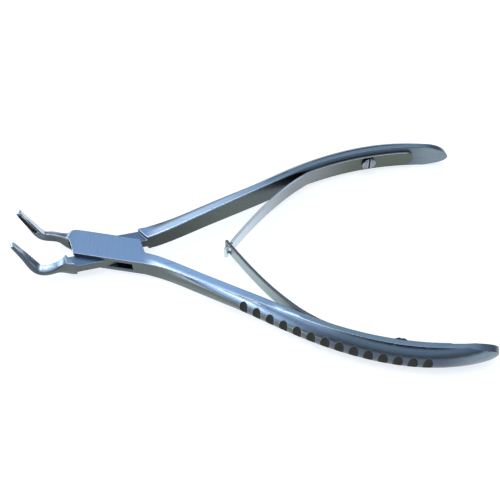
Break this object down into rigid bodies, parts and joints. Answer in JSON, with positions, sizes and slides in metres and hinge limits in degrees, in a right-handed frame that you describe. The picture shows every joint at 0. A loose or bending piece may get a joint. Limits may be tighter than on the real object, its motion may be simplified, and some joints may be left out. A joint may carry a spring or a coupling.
{
  "type": "bone rongeur",
  "caption": "Hand-held stainless bone rongeur with upturned cupped jaws, a box joint, interlocked leaf springs and finger-notched handles, shown open.",
  "frame": {"origin": "on the pivot axis, on the underside of the box joint", "axes": "+X from the pivot to the handle ends, +Y the way the tongue half's handle opens, +Z along the pivot axis, the way the jaws turn up"},
  "size_m": [0.1418, 0.087, 0.0172],
  "materials": {
    "satin_steel": "satin ground stainless steel with bright bevels",
    "spring_steel": "pale satin spring steel",
    "screw_steel": "turned satin stainless steel"
  },
  "bodies": {
    "box_side": {"box_half": "satin_steel", "pivot_pin": "satin_steel", "windowed_leaf_spring": "spring_steel", "box_half_spring_screw": "screw_steel"},
    "tongue_side": {"tongue_half": "satin_steel", "hooked_leaf_spring": "spring_steel", "tongue_half_spring_screw": "screw_steel"}
  },
  "joints": [
    {"name": "squeeze", "type": "hinge", "parent": "box_side", "child": "tongue_side", "pos_m": [0, 0, 0.0029], "axis": [0, 0, -1], "range_deg": [0, 24], "stiffness_Nm_per_rad": 1.5, "deforming": ["windowed_leaf_spring", "hooked_leaf_spring"]}
  ]
}
